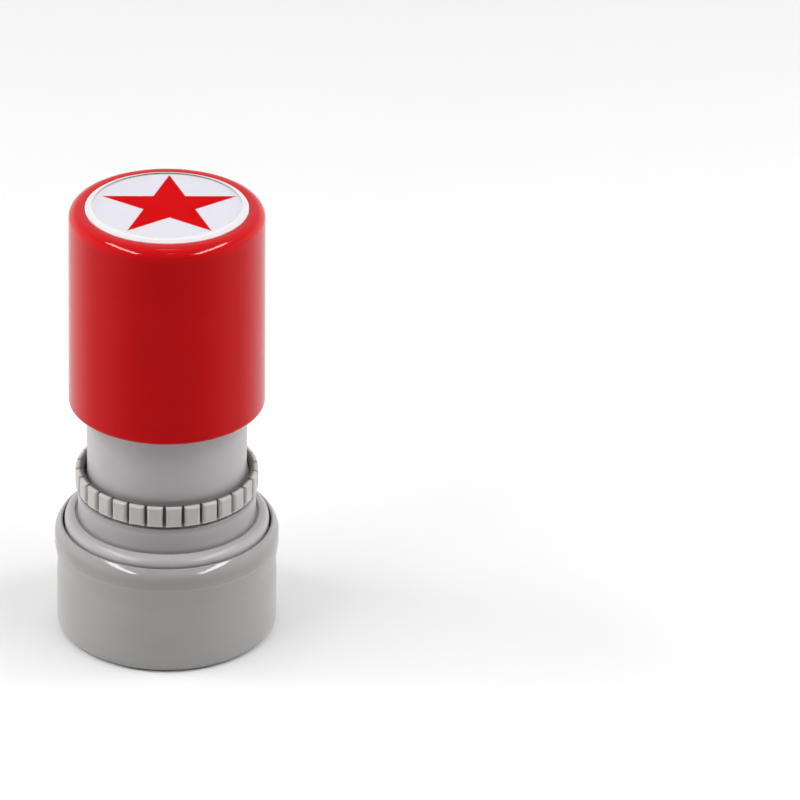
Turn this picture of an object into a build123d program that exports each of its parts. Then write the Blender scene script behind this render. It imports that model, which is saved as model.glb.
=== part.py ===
"""A round pre-inked hand stamp, standing on its dust cap.

The handle slides over a fixed neck and carries a hollow stem with the die under it. Pushing the handle
down brings the die to the paper, and a spring lifts it again. A toothed ring, threaded on the neck,
stops the handle and so sets how deep the die goes.

Millimetres. +Z runs up the axis, the origin is the centre of the dust cap's flat underside, and the
user faces -Y.
"""

from build123d import *

import os
from math import cos, pi, radians, sin, tau

os.makedirs("parts", exist_ok=True)

# Heights, from the table up
CAP_H = 15.7  # mouth of the dust cap
SHOULDER_Z = 17.05  # top of the foot skirt's shoulder
RING_Z = 20.95  # underside of the toothed ring
RING_TOP = 23.9
HANDLE_Z = 33.9  # open lower end of the handle
NECK_TOP = 48.0
CEILING_Z = 60.0  # underside of the handle's top wall
RIM_Z = 62.55  # rim of the handle
LENS_TOP = 62.9  # highest point of the stamp

# Radii, from the outside in
CAP_LIP_R = 15.25
CAP_R = 15.0
SKIRT_R = 13.9
HANDLE_R = 13.2
HANDLE_TOP_R = 13.0
TOOTH_R = 12.35
LOWER_TUBE_R = 12.1
LENS_R = 10.86
NECK_R = 10.8
STEM_R = 4.2
INK_R = 1.9  # bore of the stem, which the ink runs down

# Walls and fits
WALL = 1.2
RUNNING = 0.04  # radial play of pieces that push together
PLAY = 0.05  # gap at a stop
GUIDE_PLAY = 0.1  # radial play of pieces that slide freely
ROOT = 0.3  # how far a rib, key or lug is sunk into the wall it grows from

# Travel of the handle: until its lower end meets the toothed ring
STROKE = HANDLE_Z - RING_TOP - PLAY

# Die stack: with the handle fully down the star stands a little below the foot, to press into the paper
SEAT_Z = 1.6  # step inside the cap that the foot stands on
FOOT_Z = SEAT_Z + 0.02
IMPRESS = 0.2
STAR_Z = FOOT_Z + STROKE - IMPRESS
STAR_RELIEF = 0.35
STAR_R = 9.3
DIE_H = 1.6
DIE_BACK_Z = STAR_Z + DIE_H
PAD_H = 1.6
PAD_R = 10.9


def nearest(sketch, *points):
    """The sketch's vertices closest to these points, for rounding its corners."""
    return [sketch.vertices().sort_by_distance((x, z, 0))[0] for x, z in points]


def star_points(radius):
    """A regular five-pointed star with one point towards +Y."""
    inner = radius * sin(pi / 10) / sin(3 * pi / 10)
    radii = [radius, inner] * 5
    return [(-r * sin(tau * i / 10), r * cos(tau * i / 10)) for i, r in enumerate(radii)]


def finish(builder, name):
    """Labels a finished piece and writes its STEP file."""
    builder.part.label = name
    export_step(builder.part, f"parts/{name}.step")


# ---------------------------------------------------------------- dust cap
# A cup with a thickened lip. The stamp's foot stands on a step inside it, clear of the recessed floor.
CAP_BORE_R = 14.2
CAP_FLOOR = 1.0
CAP_RECESS_R = 12.6
CAP_WALL_TOP = 7.4  # above here the wall draws in to a waist under the lip
CAP_WAIST_R = 14.88
CAP_WAIST_Z = 10.2
CAP_WIDEST_Z = 12.6
CAP_CROWN_R = 2.4  # the lip curves in to the mouth on this radius
CAP_CROWN_TURN = 48  # degrees
CAP_CROWN_Z = CAP_H - CAP_CROWN_R * sin(radians(CAP_CROWN_TURN))
CAP_FOOT_ROUND = 1.2
CAP_SWELL_ROUND = 6.0
CAP_LIP_ROUND = 0.5
CAP_MOUTH_ROUND = 0.08
CAP_FLOOR_ROUND = 0.3
GATE_R = 1.6  # sunk mark under the floor where the mould was filled
GATE_DEEP = 0.25
SPRUE_R = 0.5

with BuildPart() as dust_cap:
    with BuildSketch(Plane.XZ) as cap_section:
        with BuildLine():
            Polyline(
                (0, 0),
                (CAP_R, 0),
                (CAP_R, CAP_WALL_TOP),
                (CAP_WAIST_R, CAP_WAIST_Z),
                (CAP_LIP_R, CAP_WIDEST_Z),
                (CAP_LIP_R, CAP_CROWN_Z),
            )
            crown = JernArc((CAP_LIP_R, CAP_CROWN_Z), (0, 1), CAP_CROWN_R, CAP_CROWN_TURN)
            Polyline(
                crown @ 1,
                (CAP_BORE_R, CAP_H),
                (CAP_BORE_R, SEAT_Z),
                (CAP_RECESS_R, SEAT_Z),
                (CAP_RECESS_R, CAP_FLOOR),
                (0, CAP_FLOOR),
                (0, 0),
            )
        make_face()
        fillet(nearest(cap_section, (CAP_R, 0)), CAP_FOOT_ROUND)
        fillet(nearest(cap_section, (CAP_R, CAP_WALL_TOP), (CAP_WAIST_R, CAP_WAIST_Z)), CAP_SWELL_ROUND)
        fillet(nearest(cap_section, (CAP_LIP_R, CAP_WIDEST_Z)), CAP_LIP_ROUND)
        fillet(nearest(cap_section, (CAP_BORE_R, CAP_H)), CAP_MOUTH_ROUND)
        fillet(nearest(cap_section, (CAP_RECESS_R, CAP_FLOOR)), CAP_FLOOR_ROUND)
    revolve(axis=Axis.Z)
    with BuildSketch(Plane.XY):
        Circle(GATE_R)
        Circle(SPRUE_R, mode=Mode.SUBTRACT)
    extrude(amount=GATE_DEEP, mode=Mode.SUBTRACT)
finish(dust_cap, "dust_cap")

# --------------------------------------------------------------- neck tube
# The neck that the handle slides on, and the wider tube under it. A web across its foot holds the spring
# up and guides the stem, and a flange there bears under the foot skirt's shoulder.
SKIRT_BORE_R = 12.9
WEB_Z = 15.75
WEB_TOP = 17.4
FLANGE_R = SKIRT_BORE_R - RUNNING
FLANGE_TOP = 16.05
LOWER_BORE_R = LOWER_TUBE_R - WALL
NECK_BORE_R = NECK_R - WALL
COLLAR_R = 11.6  # a collar on top of the lower tube carries the toothed ring
COLLAR_TOP = RING_Z - GUIDE_PLAY
LOWER_TUBE_TOP = RING_Z - 0.45
LOWER_TUBE_ROUND = 0.12
NECK_ROUND = 0.35
KEY_W = 1.5
KEY_R = 5.2
THREAD_PITCH = 1.6
THREAD_TURNS = 1.05
THREAD_R = NECK_R + 0.3
THREAD_Z = RING_Z + 0.35
THREAD_CREST = 0.3
THREAD_BASE = 0.6

with BuildPart() as neck_tube:
    with BuildSketch(Plane.XZ) as neck_section:
        with BuildLine():
            Polyline(
                (FLANGE_R, WEB_Z),
                (FLANGE_R, FLANGE_TOP),
                (LOWER_TUBE_R, FLANGE_TOP),
                (LOWER_TUBE_R, LOWER_TUBE_TOP),
                (COLLAR_R, LOWER_TUBE_TOP),
                (COLLAR_R, COLLAR_TOP),
                (NECK_R, COLLAR_TOP),
                (NECK_R, NECK_TOP),
                (NECK_BORE_R, NECK_TOP),
                (NECK_BORE_R, LOWER_TUBE_TOP - WALL),
                (LOWER_BORE_R, LOWER_TUBE_TOP - WALL),
                (LOWER_BORE_R, WEB_TOP),
                (0, WEB_TOP),
                (0, WEB_Z),
                close=True,
            )
        make_face()
        fillet(nearest(neck_section, (LOWER_TUBE_R, LOWER_TUBE_TOP)), LOWER_TUBE_ROUND)
        fillet(nearest(neck_section, (NECK_R, NECK_TOP), (NECK_BORE_R, NECK_TOP)), NECK_ROUND)
    revolve(axis=Axis.Z)
    with BuildSketch(Plane.XY.offset(WEB_Z)):  # guide hole with two key slots
        Circle(STEM_R + GUIDE_PLAY)
        Rectangle(2 * (KEY_R + GUIDE_PLAY), KEY_W + 2 * GUIDE_PLAY)
    extrude(amount=WEB_TOP - WEB_Z, mode=Mode.SUBTRACT)
    # Coarse thread round the foot of the neck, inside the toothed ring
    with BuildLine(Plane.XY.offset(THREAD_Z)) as thread_path:
        Helix(THREAD_PITCH, THREAD_PITCH * THREAD_TURNS, NECK_R)
    with BuildSketch(Plane(origin=(NECK_R, 0, THREAD_Z), x_dir=(1, 0, 0), z_dir=(0, 1, 0))):
        with BuildLine():
            Polyline(
                (-ROOT, -THREAD_BASE / 2),
                (THREAD_R - NECK_R, -THREAD_CREST / 2),
                (THREAD_R - NECK_R, THREAD_CREST / 2),
                (-ROOT, THREAD_BASE / 2),
                close=True,
            )
        make_face()
    sweep(path=thread_path.line, is_frenet=True)
finish(neck_tube, "neck_tube")

# --------------------------------------------------------------- foot skirt
# Stands on the paper. Its rounded shoulder is pressed over the neck tube down to the tube's flange, and
# a narrow groove is left open between the two.
SHOULDER_UNDER_Z = FLANGE_TOP + 0.02
SHOULDER_ROUND = 1.2
SEAM_R = LOWER_TUBE_R + 0.35
SEAM_Z = SHOULDER_Z - 0.45  # bottom of the open groove
SEAM_ROUND = 0.2
FOOT_ROUND = 0.2
BEAD_Z = 11.0  # bead round the skirt that grips the cap
BEAD_R = CAP_BORE_R - RUNNING
BEAD_HALF = 0.4

with BuildPart() as foot_skirt:
    with BuildSketch(Plane.XZ) as skirt_section:
        with BuildLine():
            Polyline(
                (SKIRT_BORE_R, FOOT_Z),
                (SKIRT_R, FOOT_Z),
                (SKIRT_R, BEAD_Z - BEAD_HALF),
                (BEAD_R, BEAD_Z),
                (SKIRT_R, BEAD_Z + BEAD_HALF),
                (SKIRT_R, SHOULDER_Z),
                (SEAM_R, SHOULDER_Z),
                (SEAM_R, SEAM_Z),
                (LOWER_TUBE_R + RUNNING, SEAM_Z),
                (LOWER_TUBE_R + RUNNING, SHOULDER_UNDER_Z),
                (SKIRT_BORE_R, SHOULDER_UNDER_Z),
                close=True,
            )
        make_face()
        fillet(nearest(skirt_section, (SKIRT_R, SHOULDER_Z)), SHOULDER_ROUND)
        fillet(nearest(skirt_section, (SEAM_R, SHOULDER_Z)), SEAM_ROUND)
        fillet(nearest(skirt_section, (SKIRT_R, FOOT_Z), (SKIRT_BORE_R, FOOT_Z)), FOOT_ROUND)
    revolve(axis=Axis.Z)
finish(foot_skirt, "foot_skirt")

# --------------------------------------------------------------- depth ring
# Thirty block teeth for the fingertips, and three lugs inside that run in the neck's thread.
TEETH = 30
RING_BORE_R = THREAD_R + GUIDE_PLAY
TOOTH_ROOT_R = 11.6
TOOTH_SINK = 0.1  # how far the teeth are sunk into the ring they grow from
TOOTH_SHARE = 0.8  # of the pitch
TOOTH_ROUND = 0.36
TOOTH_PHASE = 10.3  # degrees
TOOTH_W = tau * TOOTH_R / TEETH * TOOTH_SHARE
TOOTH_DEEP = TOOTH_R - TOOTH_ROOT_R + TOOTH_SINK
TOOTH_INSET = 0.02  # of the teeth from the ring's own two faces
RING_MID = (RING_Z + RING_TOP) / 2
BORE_CHAMFER = 0.3
LUG_H = 0.3
LUG_R = NECK_R + GUIDE_PLAY
LUG_SPAN = 24  # degrees
LUG_ANGLES = (0, 120, 240)

with BuildPart() as tooth:
    Box(TOOTH_DEEP, TOOTH_W, RING_TOP - RING_Z - 2 * TOOTH_INSET)
    fillet(tooth.faces().sort_by(Axis.X)[-1].edges(), TOOTH_ROUND)

with BuildPart() as depth_ring:
    with BuildSketch(Plane.XZ) as ring_section:
        with Locations(((RING_BORE_R + TOOTH_ROOT_R) / 2, RING_MID)):
            Rectangle(TOOTH_ROOT_R - RING_BORE_R, RING_TOP - RING_Z)
        chamfer(nearest(ring_section, (RING_BORE_R, RING_TOP)), BORE_CHAMFER)
    revolve(axis=Axis.Z)
    with Locations((0, 0, RING_MID)):
        with PolarLocations(TOOTH_R - TOOTH_DEEP / 2, TEETH, start_angle=TOOTH_PHASE):
            add(tooth.part)
    for angle in LUG_ANGLES:
        # Half a pitch above the thread at this angle, or below it where that would leave the ring
        rise = THREAD_PITCH * (angle / 360 + 0.5)
        if THREAD_Z + rise + LUG_H > RING_TOP - BORE_CHAMFER:
            rise -= THREAD_PITCH
        with BuildSketch(Plane.XZ.rotated((0, 0, angle - LUG_SPAN / 2))):
            with Locations(((LUG_R + RING_BORE_R + ROOT) / 2, THREAD_Z + rise)):
                Rectangle(RING_BORE_R + ROOT - LUG_R, LUG_H)
        revolve(axis=Axis.Z, revolution_arc=LUG_SPAN)
finish(depth_ring, "depth_ring")

# --------------------------------------------------------------- die holder
# Plate and cup under the web, and a hollow stem above it. Two keys on the stem run in the web's slots.
HOLDER_R = 12.65
HOLDER_TOP = WEB_Z - PLAY
HOLDER_ROUND = 0.4
STEM_ROUND = 0.5
CUP_BORE_R = PAD_R + 0.1
CUP_R = CUP_BORE_R + 0.8
CUP_ROOF_Z = DIE_BACK_Z + PAD_H
STEM_TOP = CEILING_Z - PLAY
FUNNEL = 1.0  # flare at the top of the ink bore
CLIP_Z = 41.6
CLIP_H = 1.3
GROOVE_R = STEM_R - 0.5
KEY_TOP = WEB_TOP + STROKE + 1.5
CHANNELS = 6
CHANNEL_W = 1.0
CHANNEL_DEEP = 0.4

with BuildPart() as die_holder:
    with BuildSketch(Plane.XZ) as holder_section:
        with BuildLine():
            Polyline(
                (INK_R, CUP_ROOF_Z),
                (CUP_BORE_R, CUP_ROOF_Z),
                (CUP_BORE_R, DIE_BACK_Z),
                (CUP_R, DIE_BACK_Z),
                (CUP_R, CUP_ROOF_Z),
                (HOLDER_R, CUP_ROOF_Z),
                (HOLDER_R, HOLDER_TOP),
                (STEM_R, HOLDER_TOP),
                (STEM_R, CLIP_Z),
                (GROOVE_R, CLIP_Z),
                (GROOVE_R, CLIP_Z + CLIP_H),
                (STEM_R, CLIP_Z + CLIP_H),
                (STEM_R, STEM_TOP),
                (INK_R + FUNNEL, STEM_TOP),
                (INK_R, STEM_TOP - FUNNEL),
                close=True,
            )
        make_face()
        fillet(nearest(holder_section, (HOLDER_R, HOLDER_TOP)), HOLDER_ROUND)
        fillet(nearest(holder_section, (STEM_R, STEM_TOP)), STEM_ROUND)
    revolve(axis=Axis.Z)
    with BuildSketch(Plane.XY.offset(HOLDER_TOP - ROOT)):
        Rectangle(2 * KEY_R, KEY_W)
        Circle(STEM_R - ROOT, mode=Mode.SUBTRACT)
    extrude(amount=KEY_TOP - HOLDER_TOP + ROOT)
    with BuildSketch(Plane.XY.offset(CUP_ROOF_Z)):  # channels that spread the ink over the pad
        with PolarLocations(PAD_R / 2, CHANNELS):
            SlotOverall(PAD_R - 2 * CHANNEL_W, CHANNEL_W)
    extrude(amount=CHANNEL_DEEP, mode=Mode.SUBTRACT)
finish(die_holder, "die_holder")

# ------------------------------------------------------------------ ink pad
# Felt disc in the holder's cup, which holds the ink behind the die.
with BuildPart() as ink_pad:
    with BuildSketch(Plane.XY.offset(DIE_BACK_Z)):
        Circle(PAD_R)
    extrude(amount=PAD_H)
finish(ink_pad, "ink_pad")

# ---------------------------------------------------------------- stamp die
# Microporous rubber: a thin rim that is clamped, a plateau, and the star standing proud of it.
DIE_R = CUP_R - 0.1
DIE_RIM_H = 0.55
PLATEAU_R = 10.1

with BuildPart() as stamp_die:
    with BuildSketch(Plane.XY.offset(DIE_BACK_Z)):
        Circle(DIE_R)
    extrude(amount=-DIE_RIM_H)
    with BuildSketch(Plane.XY.offset(DIE_BACK_Z)):
        Circle(PLATEAU_R)
    extrude(amount=STAR_RELIEF - DIE_H)
    with BuildSketch(Plane.XY.offset(STAR_Z)):
        with BuildLine():
            Polyline(*star_points(STAR_R), close=True)
        make_face()
    extrude(amount=STAR_RELIEF)
finish(stamp_die, "stamp_die")

# --------------------------------------------------------------- clamp ring
# Pushes on over the holder's cup and pinches the die's rim against it.
CLAMP_LIP_H = 0.5
CLAMP_LIP_R = PLATEAU_R + 0.15
CLAMP_SEAT_Z = DIE_BACK_Z - DIE_RIM_H
CLAMP_Z = CLAMP_SEAT_Z - CLAMP_LIP_H
CLAMP_TOP = CUP_ROOF_Z - PLAY
CLAMP_ROUND = 0.35
CLAMP_LIP_ROUND = 0.15

with BuildPart() as clamp_ring:
    with BuildSketch(Plane.XZ) as clamp_section:
        with BuildLine():
            Polyline(
                (CLAMP_LIP_R, CLAMP_Z),
                (HOLDER_R, CLAMP_Z),
                (HOLDER_R, CLAMP_TOP),
                (CUP_R + RUNNING, CLAMP_TOP),
                (CUP_R + RUNNING, CLAMP_SEAT_Z),
                (CLAMP_LIP_R, CLAMP_SEAT_Z),
                close=True,
            )
        make_face()
        fillet(nearest(clamp_section, (HOLDER_R, CLAMP_Z)), CLAMP_ROUND)
        fillet(nearest(clamp_section, (CLAMP_LIP_R, CLAMP_Z)), CLAMP_LIP_ROUND)
    revolve(axis=Axis.Z)
finish(clamp_ring, "clamp_ring")

# ------------------------------------------------------------ return spring
# Compression spring round the stem, from the web up to the clip. Its ends are ground flat.
WIRE_R = 0.4
SPRING_R = 7.2
SPRING_TURNS = 9.5
SPRING_H = CLIP_Z - WEB_TOP
END_GAP = 0.01

with BuildPart() as return_spring:
    with BuildLine(Plane.XY.offset(WEB_TOP)) as spring_path:
        Helix(SPRING_H / SPRING_TURNS, SPRING_H, SPRING_R)
    with BuildSketch(
        Plane(origin=spring_path.line @ 0, x_dir=(1, 0, 0), z_dir=spring_path.line % 0)
    ):
        Circle(WIRE_R)
    sweep(path=spring_path.line, is_frenet=True)
    with Locations((0, 0, WEB_TOP + SPRING_H / 2)):
        Cylinder(2 * SPRING_R, SPRING_H - 2 * END_GAP, mode=Mode.INTERSECT)
finish(return_spring, "return_spring")

# -------------------------------------------------------------- spring clip
# Slotted washer that snaps into the stem's groove and takes the spring's push. Its rim centres the coil.
CLIP_R = 8.8
CLIP_HOLE_R = GROOVE_R + RUNNING
CLIP_SLOT_W = 2 * GROOVE_R - 0.6  # a little under the groove, so that it snaps in
CLIP_RIM_R = SPRING_R - WIRE_R - 0.15
CLIP_RIM_W = 0.75
CLIP_RIM_H = 0.8

with BuildPart() as spring_clip:
    with BuildSketch(Plane.XY.offset(CLIP_Z)):
        Circle(CLIP_R)
        Circle(CLIP_HOLE_R, mode=Mode.SUBTRACT)
    extrude(amount=CLIP_H - PLAY)
    with BuildSketch(Plane.XY.offset(CLIP_Z)):
        Circle(CLIP_RIM_R)
        Circle(CLIP_RIM_R - CLIP_RIM_W, mode=Mode.SUBTRACT)
    extrude(amount=-CLIP_RIM_H)
    with BuildSketch(Plane.XY.offset(CLIP_Z - CLIP_RIM_H)):
        with Locations((0, -CLIP_R / 2)):
            Rectangle(CLIP_SLOT_W, CLIP_R)
    extrude(amount=CLIP_RIM_H + CLIP_H, mode=Mode.SUBTRACT)
finish(spring_clip, "spring_clip")

# -------------------------------------------------------------------- handle
# Shell with a recess for the label and lens, a socket that grips the stem, and ribs that ride on the neck.
HANDLE_BORE_R = 11.7
HANDLE_ROUND = 1.4
HANDLE_END_ROUND = 0.45
HANDLE_BORE_ROUND = 0.25
CEILING_ROUND = 0.8
RECESS_ROUND = 0.12
SOCKET_ROUND = 0.4
RECESS_R = LENS_R + 0.08
RECESS_Z = 61.4  # floor of the groove that the lens's skirt snaps into
PLATFORM_R = 10.1
PLATFORM_Z = 62.43  # the label lies on it
SOCKET_BORE_R = STEM_R + RUNNING
SOCKET_R = SOCKET_BORE_R + 1.6
SOCKET_Z = CLIP_Z + CLIP_H + 1.1
GUIDE_R = NECK_R + GUIDE_PLAY
GUIDE_Z = HANDLE_Z + 0.7
GUIDE_TOP = 46.0
GUIDES = 6
GUIDE_PHASE = 30  # degrees
GUSSET_R = NECK_BORE_R - 0.4
GUSSET_Z = 50.0
GUSSETS = 4
GUSSET_PHASE = 45  # degrees

with BuildPart() as handle_shell:
    with BuildSketch(Plane.XZ) as handle_section:
        with BuildLine():
            Polyline(
                (HANDLE_BORE_R, HANDLE_Z),
                (HANDLE_R, HANDLE_Z),
                (HANDLE_TOP_R, RIM_Z),
                (RECESS_R, RIM_Z),
                (RECESS_R, RECESS_Z),
                (PLATFORM_R, RECESS_Z),
                (PLATFORM_R, PLATFORM_Z),
                (0, PLATFORM_Z),
                (0, CEILING_Z),
                (SOCKET_BORE_R, CEILING_Z),
                (SOCKET_BORE_R, SOCKET_Z),
                (SOCKET_R, SOCKET_Z),
                (SOCKET_R, CEILING_Z),
                (HANDLE_BORE_R, CEILING_Z),
                close=True,
            )
        make_face()
        fillet(nearest(handle_section, (HANDLE_TOP_R, RIM_Z)), HANDLE_ROUND)
        fillet(nearest(handle_section, (RECESS_R, RIM_Z)), RECESS_ROUND)
        fillet(nearest(handle_section, (HANDLE_R, HANDLE_Z)), HANDLE_END_ROUND)
        fillet(nearest(handle_section, (HANDLE_BORE_R, HANDLE_Z)), HANDLE_BORE_ROUND)
        fillet(nearest(handle_section, (HANDLE_BORE_R, CEILING_Z)), CEILING_ROUND)
        fillet(nearest(handle_section, (SOCKET_BORE_R, SOCKET_Z)), SOCKET_ROUND)
    revolve(axis=Axis.Z)
    with BuildSketch(Plane.XY.offset(GUIDE_Z)):
        with PolarLocations((GUIDE_R + HANDLE_BORE_R + ROOT) / 2, GUIDES, start_angle=GUIDE_PHASE):
            Rectangle(HANDLE_BORE_R + ROOT - GUIDE_R, WALL)
    extrude(amount=GUIDE_TOP - GUIDE_Z)
    with BuildSketch(Plane.XY.offset(GUSSET_Z)):
        with PolarLocations((GUSSET_R + SOCKET_R - ROOT) / 2, GUSSETS, start_angle=GUSSET_PHASE):
            Rectangle(GUSSET_R - SOCKET_R + ROOT, WALL)
    extrude(amount=CEILING_Z - GUSSET_Z + ROOT)
finish(handle_shell, "handle_shell")

# ------------------------------------------------------------ label and lens
# The printed label shows which star the stamp makes. The lens is a shallow clear cap that snaps in over
# it, with a bevel round its edge.
LABEL_H = 0.2
LENS_Z = RECESS_Z + PLAY
LENS_SKIRT_R = PLATFORM_R + RUNNING
LENS_ROOF_Z = PLATFORM_Z + LABEL_H + 0.02
LENS_EDGE_Z = RIM_Z
LENS_FLAT_R = 9.9
LENS_EDGE_ROUND = 0.1
LENS_FLAT_ROUND = 0.5

with BuildPart() as index_label:
    with BuildSketch(Plane.XY.offset(PLATFORM_Z)):
        Circle(PLATFORM_R)
    extrude(amount=LABEL_H)
finish(index_label, "index_label")

with BuildPart() as window_lens:
    with BuildSketch(Plane.XZ) as lens_section:
        with BuildLine():
            Polyline(
                (LENS_SKIRT_R, LENS_Z),
                (LENS_R, LENS_Z),
                (LENS_R, LENS_EDGE_Z),
                (LENS_FLAT_R, LENS_TOP),
                (0, LENS_TOP),
                (0, LENS_ROOF_Z),
                (LENS_SKIRT_R, LENS_ROOF_Z),
                close=True,
            )
        make_face()
        fillet(nearest(lens_section, (LENS_R, LENS_EDGE_Z)), LENS_EDGE_ROUND)
        fillet(nearest(lens_section, (LENS_FLAT_R, LENS_TOP)), LENS_FLAT_ROUND)
    revolve(axis=Axis.Z)
finish(window_lens, "window_lens")
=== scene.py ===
"""Looks of a round pre-inked hand stamp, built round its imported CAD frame.

Metres, +Z up, the origin under the middle of the dust cap, the user on the -Y side. Patterns in the
materials and places on the label are in millimetres.
"""

from math import atan, cos, pi, radians, sin, tau

import bpy
from mathutils import Matrix, Quaternion, Vector
from mathutils.geometry import delaunay_2d_cdt


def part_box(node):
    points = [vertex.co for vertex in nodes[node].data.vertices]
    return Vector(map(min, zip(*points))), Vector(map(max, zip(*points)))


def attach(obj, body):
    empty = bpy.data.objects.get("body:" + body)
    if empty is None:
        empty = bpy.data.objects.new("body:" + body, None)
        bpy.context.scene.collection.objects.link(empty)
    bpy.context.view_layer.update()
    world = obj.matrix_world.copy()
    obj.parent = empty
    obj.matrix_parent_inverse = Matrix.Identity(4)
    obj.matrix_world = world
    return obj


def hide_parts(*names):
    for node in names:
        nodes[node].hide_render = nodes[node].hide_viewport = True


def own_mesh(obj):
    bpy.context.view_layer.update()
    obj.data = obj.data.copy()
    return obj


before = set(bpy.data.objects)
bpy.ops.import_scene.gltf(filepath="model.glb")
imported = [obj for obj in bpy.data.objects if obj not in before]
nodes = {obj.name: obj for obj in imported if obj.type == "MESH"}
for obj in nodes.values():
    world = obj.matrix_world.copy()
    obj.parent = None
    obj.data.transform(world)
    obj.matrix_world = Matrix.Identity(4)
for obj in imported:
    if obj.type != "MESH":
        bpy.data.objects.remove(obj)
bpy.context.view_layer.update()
MM = 0.001


def low_mm(node):
    """Lowest height of a CAD node, in mm."""
    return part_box(node)[0].z / MM


def top_mm(node):
    """Highest point of a CAD node, in mm."""
    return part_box(node)[1].z / MM


# ------------------------------------------------------------------ material tools
class Finish:
    """One material's node tree. Its patterns are solid, placed by the piece's own coordinates in mm."""

    def __init__(self, name):
        self.material = bpy.data.materials.new(name)
        self.material.use_nodes = True
        self.tree = self.material.node_tree
        self.shader = self.tree.nodes["Principled BSDF"]
        self.output = self.tree.nodes["Material Output"]
        coordinates = self.tree.nodes.new("ShaderNodeTexCoord")
        self.place = self.stretched((1, 1, 1), coordinates.outputs["Object"], 1 / MM)
        self.normal = None

    def put(self, value, socket):
        """Links an output to a socket, or sets the socket to a constant."""
        if isinstance(value, bpy.types.NodeSocket):
            self.tree.links.new(value, socket)
        elif isinstance(value, tuple) and len(value) == 3 and socket.type == "RGBA":
            socket.default_value = (*value, 1)
        else:
            socket.default_value = value

    def stretched(self, sizes, place=None, factor=1.0):
        """Coordinates divided by three sizes, so that a pattern is that much longer along each axis."""
        node = self.tree.nodes.new("ShaderNodeVectorMath")
        node.operation = "MULTIPLY"
        self.put(place or self.place, node.inputs[0])
        self.put(tuple(factor / s for s in sizes), node.inputs[1])
        return node.outputs["Vector"]

    def math(self, operation, a, b=0.0, clamp=False):
        """One operation, such as ADD or MULTIPLY, on two numbers or outputs."""
        node = self.tree.nodes.new("ShaderNodeMath")
        node.operation = operation
        node.use_clamp = clamp
        self.put(a, node.inputs[0])
        self.put(b, node.inputs[1])
        return node.outputs["Value"]

    def axis(self, name):
        """The place along X, Y or Z, in mm."""
        node = self.tree.nodes.new("ShaderNodeSeparateXYZ")
        self.put(self.place, node.inputs[0])
        return node.outputs[name]

    def radius(self):
        """Distance from the stamp's axis, in mm."""
        x, y = self.axis("X"), self.axis("Y")
        squares = self.math("ADD", self.math("POWER", x, 2), self.math("POWER", y, 2))
        return self.math("SQRT", squares)

    def noise(self, size, detail=2.0, sizes=(1, 1, 1)):
        """Cloudy noise whose patches are about size mm across, times sizes along each axis."""
        node = self.tree.nodes.new("ShaderNodeTexNoise")
        self.put(self.stretched(tuple(size * s for s in sizes)), node.inputs["Vector"])
        node.inputs["Scale"].default_value = 1.0
        node.inputs["Detail"].default_value = detail
        return node.outputs["Fac"]

    def fade(self, value, low, high, start=0.0, end=1.0):
        """start at low, end at high, and a smooth step between them."""
        node = self.tree.nodes.new("ShaderNodeMapRange")
        node.interpolation_type = "SMOOTHSTEP"
        self.put(value, node.inputs["Value"])
        self.put(low, node.inputs["From Min"])
        self.put(high, node.inputs["From Max"])
        self.put(start, node.inputs["To Min"])
        self.put(end, node.inputs["To Max"])
        return node.outputs["Result"]

    def mix(self, share, a, b):
        """Colour a where share is 0, colour b where it is 1."""
        node = self.tree.nodes.new("ShaderNodeMix")
        node.data_type = "RGBA"
        self.put(share, node.inputs["Factor"])
        self.put(a, [s for s in node.inputs if s.name == "A" and s.type == "RGBA"][0])
        self.put(b, [s for s in node.inputs if s.name == "B" and s.type == "RGBA"][0])
        return [s for s in node.outputs if s.type == "RGBA"][0]

    def times(self, colour, factor):
        """A colour multiplied by a number."""
        node = self.tree.nodes.new("ShaderNodeVectorMath")
        node.operation = "SCALE"
        self.put(colour, node.inputs[0])
        self.put(factor, node.inputs["Scale"])
        return node.outputs["Vector"]

    def specks(self, spacing, size, share):
        """Small dots of dust: about one cell in 1/share, spacing apart, holds a dot of that size."""
        node = self.tree.nodes.new("ShaderNodeTexVoronoi")
        self.put(self.stretched((spacing,) * 3), node.inputs["Vector"])
        node.inputs["Scale"].default_value = 1.0
        parts = self.tree.nodes.new("ShaderNodeSeparateColor")
        self.put(node.outputs["Color"], parts.inputs["Color"])
        chosen = self.math("LESS_THAN", parts.outputs["Red"], share)
        reach = size / spacing
        dot = self.fade(node.outputs["Distance"], reach * 0.5, reach, 1.0, 0.0)
        return self.math("MULTIPLY", dot, chosen)

    def scratches(self, size, sizes, width, amount):
        """Hairlines: thin contour lines of a stretched noise, kept only here and there."""
        lines = self.math("ABSOLUTE", self.math("SUBTRACT", self.noise(size, 1.0, sizes), 0.5))
        thin = self.fade(lines, width * 0.4, width, 1.0, 0.0)
        kept = self.fade(self.noise(size * 0.7, 2.0), 1 - amount, 1 - amount + 0.08)
        return self.math("MULTIPLY", thin, kept)

    def bump(self, height, depth):
        """Adds relief of that depth in mm to what is there already."""
        node = self.tree.nodes.new("ShaderNodeBump")
        self.put(height, node.inputs["Height"])
        node.inputs["Distance"].default_value = depth * MM
        if self.normal:
            self.put(self.normal, node.inputs["Normal"])
        self.normal = node.outputs["Normal"]

    def finish(self, colour, roughness, **constants):
        """Wires the shader up and gives the material. constants are set on the shader's own sockets."""
        self.put(colour, self.shader.inputs["Base Color"])
        self.put(roughness, self.shader.inputs["Roughness"])
        if self.normal:
            self.put(self.normal, self.shader.inputs["Normal"])
        for name, value in constants.items():
            self.put(value, self.shader.inputs[name.replace("_", " ")])
        return self.material


def shade(colour, factor):
    """A colour made darker or lighter, no component over 1."""
    return tuple(min(1.0, c * factor) for c in colour)


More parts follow.
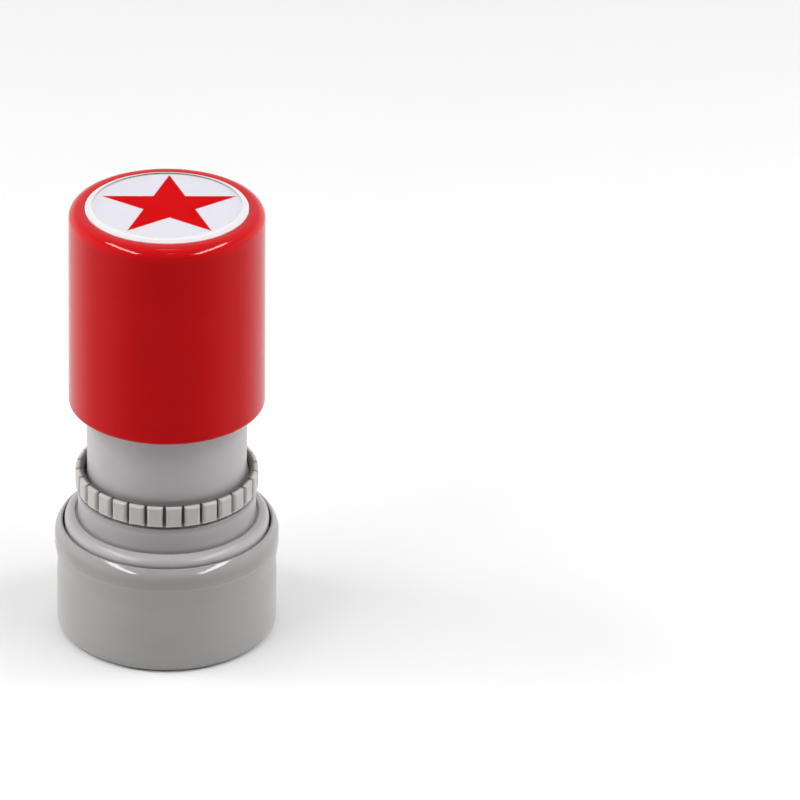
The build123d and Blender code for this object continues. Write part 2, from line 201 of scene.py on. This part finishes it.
def moulded(name, colour, roughness, peel, grain, dust, ior=1.46, polish=None, grime=None, painted_light_bands=()):
    """Injection-moulded plastic. peel and grain are relief in mm, and dust is the share of places that hold
    a mote. polish is (low z, high z, roughness): from high z up the surface is smoother. The inner shade is
    (inner radius, outer radius, darkest share): painted shade, the colour darkened inside a radius. Each of
    the painted light bands is (height, reach, factor): painted shade where the factor is under 1 and a
    painted highlight where it is over 1; all round, the colour is multiplied by the factor there, and by 1
    from the reach on."""
    m = Finish(name)
    tone = m.noise(7.0, 3.0)
    flow = m.noise(1.0, 2.0, (9.0, 9.0, 0.5))
    pigment = m.noise(0.16, 2.0)
    shaded = m.mix(tone, shade(colour, 0.96), shade(colour, 1.04))
    streaked = m.mix(m.fade(flow, 0.35, 0.75, 0.0, 0.3), shaded, shade(colour, 1.06))
    speckled = m.mix(m.fade(pigment, 0.3, 0.75, 0.0, 0.2), streaked, shade(colour, 0.9))
    motes = m.specks(3.4, 0.07, dust)
    dust_and_painted_light = m.mix(m.math("MULTIPLY", motes, 0.22), speckled, (0.82, 0.80, 0.79))
    # Painted shade: the colour darkened inside a radius, where shade falls
    if grime:
        inner, outer, darkest = grime
        dust_and_painted_light = m.mix(m.fade(m.radius(), inner, outer, 1.0, 0.0), dust_and_painted_light, shade(colour, darkest))
    # Painted shade and painted highlights: bands all round, darker or lighter by height
    for height, reach, factor in painted_light_bands:
        distance = m.math("ABSOLUTE", m.math("SUBTRACT", m.axis("Z"), height))
        dust_and_painted_light = m.times(dust_and_painted_light, m.fade(distance, 0.0, reach, factor, 1.0))
    uneven = m.fade(m.noise(4.5, 4.0), 0.3, 0.7, -0.02, 0.03)
    if polish:
        low, high, smoother = polish
        roughness = m.fade(m.axis("Z"), low, high, roughness, smoother)
    roughness = m.math("ADD", roughness, uneven)
    roughness = m.math("ADD", roughness, m.math("MULTIPLY", motes, 0.3), clamp=True)
    m.bump(m.noise(1.3, 2.0), peel)
    m.bump(m.noise(0.11, 2.0), grain)
    m.bump(motes, 0.004)
    return m.finish(dust_and_painted_light, roughness, IOR=ior)


# ---------------------------------------------------------------------- materials
RED = (0.51, 0.003, 0.005)
BODY_GREY = (0.455, 0.44, 0.448)
RING_GREY = (0.50, 0.488, 0.462)
CAP_GREY = (0.375, 0.363, 0.358)
INNER_GREY = (0.30, 0.30, 0.31)
PRINT_RED = (0.565, 0.0002, 0.0010)
PRINT_PALE = (0.665, 0.65, 0.695)
PAPER = (0.86, 0.85, 0.86)

RIM_Z = top_mm("handle_shell")
SHOULDER_Z = top_mm("foot_skirt")
RING_Z, RING_TOP = low_mm("depth_ring"), top_mm("depth_ring")
MOUTH_Z = top_mm("dust_cap")

handle_red = moulded(
    "handle_red_abs", RED, roughness=0.09, peel=0.0008, grain=0.0001, dust=0.03, ior=1.44,
    # Painted highlight: a lighter band round the rim's rounded edge
    painted_light_bands=((RIM_Z - 0.85, 1.3, 1.22),),
)
body_grey = moulded(
    "body_grey_abs", BODY_GREY, roughness=0.30, peel=0.0012, grain=0.0003, dust=0.04,
    # Painted shade: darker over the lower tube and the shoulder, and darker still just under the depth ring
    painted_light_bands=((SHOULDER_Z + 1.45, 2.6, 0.84), (RING_Z - 0.45, 1.0, 0.72)),
)
ring_grey = moulded(
    "ring_grey_abs", RING_GREY, roughness=0.34, peel=0.0012, grain=0.0003, dust=0.04,
    # Painted shade inside a radius, deep in the gaps between the teeth, and painted highlights along the
    # ring's lower and upper edges
    grime=(11.65, 12.0, 0.22), painted_light_bands=((RING_Z, 0.45, 1.7), (RING_TOP, 0.25, 1.2)),
)
cap_grey = moulded(
    "cap_grey_abs", CAP_GREY, roughness=0.30, peel=0.0012, grain=0.0003, dust=0.04,
    # Painted shade: a darker band on the glossy lip, and darker towards the foot where it stands on the floor
    polish=(MOUTH_Z - 3.0, MOUTH_Z - 2.3, 0.09), painted_light_bands=((MOUTH_Z - 1.7, 1.6, 0.88), (0.0, 1.0, 0.7)),
)
inner_grey = moulded("inner_grey_acetal", INNER_GREY, roughness=0.45, peel=0.0016, grain=0.0006, dust=0.02)


def printed(name, colour, ink):
    """Coated label stock, or ink printed on it. ink, from 0 to 1, is how thick and so how smooth it is."""
    m = Finish(name)
    fibres = m.noise(0.35, 4.0, (1.0, 0.35, 1.0))
    dots = m.noise(0.05, 1.0)
    tone = m.mix(m.noise(5.0, 2.0), shade(colour, 0.985), shade(colour, 1.01))
    flecked = m.mix(m.fade(fibres, 0.45, 0.8, 0.0, 0.06), tone, shade(colour, 0.8))
    m.bump(fibres, 0.002)
    m.bump(dots, 0.0005)
    roughness = m.fade(dots, 0.3, 0.7, 0.5 - 0.15 * ink, 0.62 - 0.15 * ink)
    return m.finish(flecked, roughness, IOR=1.35, Specular_IOR_Level=0.03)


def clear_lens():
    """Clear acrylic. Its bevel is a fine satin, which looks white round the label."""
    m = Finish("lens_clear_acrylic")
    make, link = m.tree.nodes.new, m.tree.links.new
    m.tree.nodes.remove(m.shader)
    m.bump(m.noise(2.5, 2.0), 0.0006)
    hairlines = m.scratches(2.0, (1.0, 3.0, 1.0), 0.005, 0.40)
    clear = make("ShaderNodeBsdfTransparent")
    clear.inputs["Color"].default_value = (0.985, 0.985, 0.99, 1)
    shine = make("ShaderNodeBsdfGlossy")
    m.put(m.math("ADD", m.math("MULTIPLY", hairlines, 0.25), 0.03), shine.inputs["Roughness"])
    m.put(m.normal, shine.inputs["Normal"])
    edge = make("ShaderNodeFresnel")
    edge.inputs["IOR"].default_value = 1.03
    side = make("ShaderNodeNewGeometry")
    outward = m.math("SUBTRACT", 1.0, side.outputs["Backfacing"])
    window = make("ShaderNodeMixShader")
    m.put(m.math("MULTIPLY", edge.outputs["Fac"], outward), window.inputs["Fac"])
    link(clear.outputs["BSDF"], window.inputs[1])
    link(shine.outputs["BSDF"], window.inputs[2])
    satin = make("ShaderNodeBsdfPrincipled")
    satin.inputs["Base Color"].default_value = (0.82, 0.78, 0.795, 1)
    satin.inputs["Roughness"].default_value = 0.35
    m.put(m.normal, satin.inputs["Normal"])
    whole = make("ShaderNodeMixShader")
    label_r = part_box("index_label")[1].x / MM
    m.put(m.fade(m.radius(), label_r - 0.35, label_r + 0.05, 0.0, 0.86), whole.inputs["Fac"])
    link(window.outputs["Shader"], whole.inputs[1])
    link(satin.outputs["BSDF"], whole.inputs[2])
    link(whole.outputs["Shader"], m.output.inputs["Surface"])
    return m.material


def inked_rubber():
    """Porous die rubber, wet with ink where the star stands proud."""
    m = Finish("die_rubber_inked")
    star_z = low_mm("stamp_die")
    face = m.fade(m.axis("Z"), star_z + 0.08, star_z + 0.23, 1.0, 0.0)
    pores = m.specks(0.16, 0.05, 0.8)
    stain = m.noise(2.2, 4.0)
    dry = m.mix(stain, (0.50, 0.045, 0.055), (0.60, 0.16, 0.16))
    wet = m.mix(m.noise(1.2, 3.0), (0.33, 0.002, 0.004), (0.42, 0.004, 0.007))
    m.bump(m.math("SUBTRACT", 1.0, pores), 0.02)
    m.bump(m.noise(0.3, 3.0), 0.006)
    roughness = m.math("ADD", m.math("MULTIPLY", face, -0.38), m.fade(stain, 0.3, 0.7, 0.62, 0.75))
    return m.finish(m.mix(face, dry, wet), roughness)


def soaked_felt():
    """Dark red felt, wet with ink."""
    m = Finish("ink_felt_soaked")
    fibres = m.noise(0.22, 6.0, (1.0, 1.0, 0.5))
    colour = m.mix(m.fade(fibres, 0.3, 0.7), (0.10, 0.002, 0.003), (0.30, 0.010, 0.014))
    m.bump(fibres, 0.05)
    return m.finish(colour, m.fade(m.noise(1.5, 2.0), 0.3, 0.7, 0.55, 0.85), Sheen_Weight=0.3)


def drawn_wire():
    """Spring steel with fine lines from the drawing die."""
    m = Finish("spring_wire_steel")
    lines = m.noise(0.08, 2.0, (1.0, 1.0, 3.0))
    colour = m.mix(lines, (0.48, 0.48, 0.49), (0.66, 0.66, 0.66))
    m.bump(lines, 0.001)
    return m.finish(colour, m.fade(lines, 0.3, 0.7, 0.22, 0.40), Metallic=1.0)


# --------------------------------------------------------------------- mesh tools
def piece(name, vertices, faces, materials, body, replaced, kinds=None, smooth=True):
    """A mesh in metres that rides on a body and stands for a CAD node."""
    mesh = bpy.data.meshes.new(name)
    mesh.from_pydata(vertices, [], faces)
    for material in materials:
        mesh.materials.append(material)
    if kinds:
        mesh.polygons.foreach_set("material_index", kinds)
    mesh.polygons.foreach_set("use_smooth", [smooth] * len(faces))
    mesh.validate()
    made = bpy.data.objects.new(name, mesh)
    bpy.context.scene.collection.objects.link(made)
    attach(made, body)
    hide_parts(replaced)
    return made


FINISHES = {
    "handle_shell": handle_red,
    "neck_tube": body_grey,
    "foot_skirt": body_grey,
    "depth_ring": ring_grey,
    "dust_cap": cap_grey,
    "die_holder": inner_grey,
    "clamp_ring": inner_grey,
    "spring_clip": inner_grey,
    "stamp_die": inked_rubber(),
    "window_lens": clear_lens(),
}
for node, material in FINISHES.items():
    for holder in nodes[node].material_slots:
        holder.material = material


# ------------------------------------------------------------------ printed label
LABEL_GROUND_R = 9.8
LABEL_STAR_R = 9.42
LABEL_STAR_AT = (0.31, 0.34)  # printed a little off centre
LABEL_SIDES = 128


def circle(radius, count):
    """Points of a circle about the origin."""
    return [Vector((radius * cos(tau * i / count), radius * sin(tau * i / count))) for i in range(count)]


def star(radius, centre):
    """A regular five-pointed star with one point towards +Y."""
    inner = radius * sin(pi / 10) / sin(3 * pi / 10)
    radii = [radius, inner] * 5
    turns = [tau * i / 10 for i in range(10)]
    return [Vector((centre[0] - r * sin(t), centre[1] + r * cos(t))) for r, t in zip(radii, turns)]


def inside(point, outline):
    """True if a point lies inside a closed outline, by the even-odd rule."""
    found = False
    for a, b in zip(outline, outline[1:] + outline[:1]):
        if (a.y > point.y) != (b.y > point.y):
            if point.x < (b.x - a.x) * (point.y - a.y) / (b.y - a.y) + a.x:
                found = not found
    return found


def printed_label():
    """The label disc: white stock, a pale printed ground and the red star, as faces of one flat top."""
    low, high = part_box("index_label")
    rim = circle(high.x / MM, LABEL_SIDES)
    ground = circle(LABEL_GROUND_R, LABEL_SIDES)
    mark = star(LABEL_STAR_R, LABEL_STAR_AT)
    points, edges = [], []
    for outline in (rim, ground, mark):
        first = len(points)
        points += outline
        edges += [(first + i, first + (i + 1) % len(outline)) for i in range(len(outline))]
    flat, _, triangles, *_ = delaunay_2d_cdt(points, edges, [], 0, 1e-6)
    vertices = [(p.x * MM, p.y * MM, high.z) for p in flat]
    kinds = []
    for triangle in triangles:
        middle = sum((flat[i] for i in triangle), Vector((0, 0))) / 3
        if inside(middle, mark):
            kinds.append(2)
        else:
            kinds.append(1 if middle.length < LABEL_GROUND_R else 0)
    count = len(rim)
    under = len(vertices)
    vertices += [(p.x * MM, p.y * MM, low.z) for p in rim]
    faces = [tuple(t) for t in triangles]
    faces += [(i, under + i, under + (i + 1) % count, (i + 1) % count) for i in range(count)]
    faces.append(tuple(under + i for i in reversed(range(count))))
    kinds += [0] * (count + 1)
    inks = [printed("label_stock", PAPER, 0), printed("label_pale_ink", PRINT_PALE, 0.5)]
    inks.append(printed("label_red_ink", PRINT_RED, 1))
    return piece("printed_label", vertices, faces, inks, "handle", "index_label", kinds, False)


printed_label()


# ------------------------------------------------------------- spring and ink felt
WIRE_R = 0.4 * MM
TURNS = 9.5
CLOSED = 1.0  # turns at each end that lie on themselves
STEPS_PER_TURN = 48
WIRE_SIDES = 16
FELT_SIDES = 96
FELT_ROUND = 0.35 * MM
FELT_RIPPLE = 0.015 * MM


def coil_spring():
    """The return spring: closed end turns, ground flat, and open turns between them."""
    low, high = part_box("return_spring")
    mean = high.x - WIRE_R
    start, end = low.z + WIRE_R * 0.5, high.z - WIRE_R * 0.5
    pitch = (end - start - 4 * WIRE_R * CLOSED) / (TURNS - 2 * CLOSED)

    def height(t):
        """Height of the wire's middle after t turns."""
        if t <= CLOSED:
            return start + 2 * WIRE_R * t
        if t <= TURNS - CLOSED:
            return start + 2 * WIRE_R * CLOSED + pitch * (t - CLOSED)
        return end - 2 * WIRE_R * (TURNS - t)

    vertices, faces = [], []
    steps = round(TURNS * STEPS_PER_TURN)
    for i in range(steps + 1):
        t = i / STEPS_PER_TURN
        for k in range(WIRE_SIDES):
            around = tau * k / WIRE_SIDES
            r = mean + WIRE_R * cos(around)
            z = height(t) + WIRE_R * sin(around)
            vertices.append((r * cos(tau * t), r * sin(tau * t), min(max(z, low.z), high.z)))
    for i in range(steps):
        for k in range(WIRE_SIDES):
            a, b = i * WIRE_SIDES + k, i * WIRE_SIDES + (k + 1) % WIRE_SIDES
            faces.append((a, b, b + WIRE_SIDES, a + WIRE_SIDES))
    faces.append(tuple(reversed(range(WIRE_SIDES))))
    faces.append(tuple(steps * WIRE_SIDES + k for k in range(WIRE_SIDES)))
    made = piece("coil_spring", vertices, faces, [drawn_wire()], "sleeve", "return_spring")
    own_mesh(made)


def felt_pad():
    """The ink felt: a crowned disc with a soft rounded edge and a slightly uneven face."""
    low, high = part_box("ink_pad")
    radius = high.x
    under = low.z + 0.02 * MM
    turns = [radians(15 * i) for i in range(7)]
    # The crown falls away from the middle, by a share of the radius and a depth in mm
    crown = ((0.0, 0.02), (0.5, 0.03), (0.8, 0.06))
    profile = [(radius * share, high.z - fall * MM) for share, fall in crown]
    edge_top = high.z - 0.08 * MM
    profile += [(radius - FELT_ROUND * (1 - sin(a)), edge_top - FELT_ROUND * (1 - cos(a))) for a in turns]
    profile += [(radius - FELT_ROUND * (1 - cos(a)), under + FELT_ROUND * (1 - sin(a))) for a in turns]
    profile.append((0.0, under))
    vertices, faces = [], []
    for r, z in profile[1:-1]:
        for k in range(FELT_SIDES):
            turn = tau * k / FELT_SIDES
            ripple = FELT_RIPPLE * (sin(5 * turn + 900 * r) + sin(11 * turn)) * (r / radius)
            vertices.append((r * cos(turn), r * sin(turn), min(z + ripple, high.z)))
    rows = len(profile) - 2
    for i in range(rows - 1):
        for k in range(FELT_SIDES):
            a, b = i * FELT_SIDES + k, i * FELT_SIDES + (k + 1) % FELT_SIDES
            faces.append((a, a + FELT_SIDES, b + FELT_SIDES, b))
    top, bottom = len(vertices), len(vertices) + 1
    vertices += [(0, 0, profile[0][1]), (0, 0, profile[-1][1])]
    last = (rows - 1) * FELT_SIDES
    for k in range(FELT_SIDES):
        after = (k + 1) % FELT_SIDES
        faces.append((top, k, after))
        faces.append((bottom, last + after, last + k))
    made = piece("felt_pad", vertices, faces, [soaked_felt()], "core", "ink_pad")


coil_spring()
felt_pad()


# -------------------------------------------------------------------------- stage
AIM = Vector((0, 0, 32 * MM))  # what the camera and the lamps point at
FLOOR_HALF = 3.0
FLOOR_Z = -0.02 * MM
# The surroundings are SKY all over, and brighter to the sides and behind. Each glow is (from, to, start, end)
# along Y, and GLOW_FALL dims both upwards, along Z.
SKY = 0.08
SIDE_GLOW = (-0.80, -0.10, 0.0, 0.25)
BACK_GLOW = (-0.10, 0.70, 0.0, 0.55)
GLOW_FALL = (0.05, 0.50, 1.0, 0.45)


def pale_floor():
    """A wide pale table, a hair under the cap. Gloss doesn't mirror it, so it shows the surroundings."""
    mesh = bpy.data.meshes.new("floor")
    corners = [(x * FLOOR_HALF, y * FLOOR_HALF, FLOOR_Z) for x, y in ((-1, -1), (1, -1), (1, 1), (-1, 1))]
    mesh.from_pydata(corners, [], [(0, 1, 2, 3)])
    floor = bpy.data.objects.new("floor", mesh)
    bpy.context.scene.collection.objects.link(floor)
    m = Finish("floor_pale")
    colour = m.mix(m.noise(60.0, 3.0), (0.83, 0.83, 0.83), (0.85, 0.85, 0.85))
    m.bump(m.noise(0.8, 3.0), 0.01)
    mesh.materials.append(m.finish(colour, 0.85, Specular_IOR_Level=0.1))
    floor.visible_glossy = False


def panel(name, place, size, watts, roll=0.0, lights=True, shines=True):
    """A soft box that faces the stamp. lights: it gives diffuse light. shines: the gloss shows it."""
    data = bpy.data.lights.new(name, "AREA")
    data.shape = "RECTANGLE"
    data.size, data.size_y = size
    data.energy = watts
    lamp = bpy.data.objects.new(name, data)
    lamp.location = place
    lamp.rotation_mode = "QUATERNION"
    facing = (AIM - Vector(place)).to_track_quat("-Z", "Y")
    lamp.rotation_quaternion = facing @ Quaternion((0, 0, 1), radians(roll))
    lamp.visible_diffuse = lights
    lamp.visible_glossy = shines
    bpy.context.scene.collection.objects.link(lamp)


def surroundings():
    """A dim world: darkest in front of the stamp, brighter to the sides and behind, low down."""
    world = bpy.data.worlds.new("surroundings")
    bpy.context.scene.world = world
    world.use_nodes = True
    tree = world.node_tree
    background = tree.nodes["Background"]
    way = tree.nodes.new("ShaderNodeTexCoord")
    split = tree.nodes.new("ShaderNodeSeparateXYZ")
    tree.links.new(way.outputs["Generated"], split.inputs[0])

    def step(value, low, high, start, end):
        node = tree.nodes.new("ShaderNodeMapRange")
        node.interpolation_type = "SMOOTHSTEP"
        tree.links.new(value, node.inputs["Value"])
        for socket, number in zip(("From Min", "From Max", "To Min", "To Max"), (low, high, start, end)):
            node.inputs[socket].default_value = number
        return node.outputs["Result"]

    def combine(operation, a, b):
        node = tree.nodes.new("ShaderNodeMath")
        node.operation = operation
        for value, socket in zip((a, b), node.inputs):
            if isinstance(value, float):
                socket.default_value = value
            else:
                tree.links.new(value, socket)
        return node.outputs["Value"]

    sides = step(split.outputs["Y"], *SIDE_GLOW)
    behind = step(split.outputs["Y"], *BACK_GLOW)
    low_down = step(split.outputs["Z"], *GLOW_FALL)
    glow = combine("MULTIPLY", combine("ADD", sides, behind), low_down)
    light = combine("ADD", glow, SKY)
    tree.links.new(light, background.inputs["Strength"])
    background.inputs["Color"].default_value = (1, 1, 1, 1)


pale_floor()
surroundings()
# The main light, a soft box high on each side, and one low beside each flank
panel("overhead", (0.0, -0.06, 0.70), (0.50, 0.50), 1.9, shines=False)
panel("key_left", (-0.41, -0.13, 0.555), (0.62, 0.10), 1.9, shines=False)
panel("key_right", (0.43, -0.11, 0.545), (0.62, 0.10), 1.75, shines=False)
panel("edge_left", (-0.55, 0.08, 0.14), (0.20, 0.34), 1.3, shines=False)
panel("edge_right", (0.55, 0.08, 0.14), (0.20, 0.34), 1.05, shines=False)
# Long ones that draw the streaks on the lip and the rim, and two glints
panel("streak_left", (-0.458, -0.290, 0.475), (0.70, 0.11), 3.4, roll=-32, lights=False)
panel("streak_right", (0.458, -0.290, 0.475), (0.70, 0.11), 3.4, roll=32, lights=False)
panel("glint_top", (0.0, 0.03, 0.72), (0.12, 0.05), 0.09, lights=False)
panel("glint_front", (0.04, -0.47, 0.53), (0.10, 0.03), 0.06, lights=False)

# ------------------------------------------------------------------------- camera
DISTANCE = 0.7
ELEVATION = radians(28)
FOCAL = 233.7  # mm, on a 36 mm wide sensor
SENSOR = 36.0
TURN_RIGHT = atan(10.485 / FOCAL)  # mm on the sensor
TURN_UP = atan(0.529 / FOCAL)


def camera():
    """Looks down at the stamp from the front, turned so that the stamp stands left of the middle."""
    data = bpy.data.cameras.new("camera")
    data.sensor_width = SENSOR
    data.lens = FOCAL
    data.clip_start, data.clip_end = 0.05, 20
    made = bpy.data.objects.new("camera", data)
    back = Vector((0, -cos(ELEVATION), sin(ELEVATION)))
    look = (-back).to_track_quat("-Z", "Y").to_matrix().to_4x4()
    turn = Matrix.Rotation(-TURN_RIGHT, 4, "Y") @ Matrix.Rotation(TURN_UP, 4, "X")
    made.matrix_world = Matrix.Translation(AIM + DISTANCE * back) @ look @ turn
    bpy.context.scene.collection.objects.link(made)
    bpy.context.scene.camera = made


camera()
bpy.context.scene.view_settings.view_transform = "Standard"
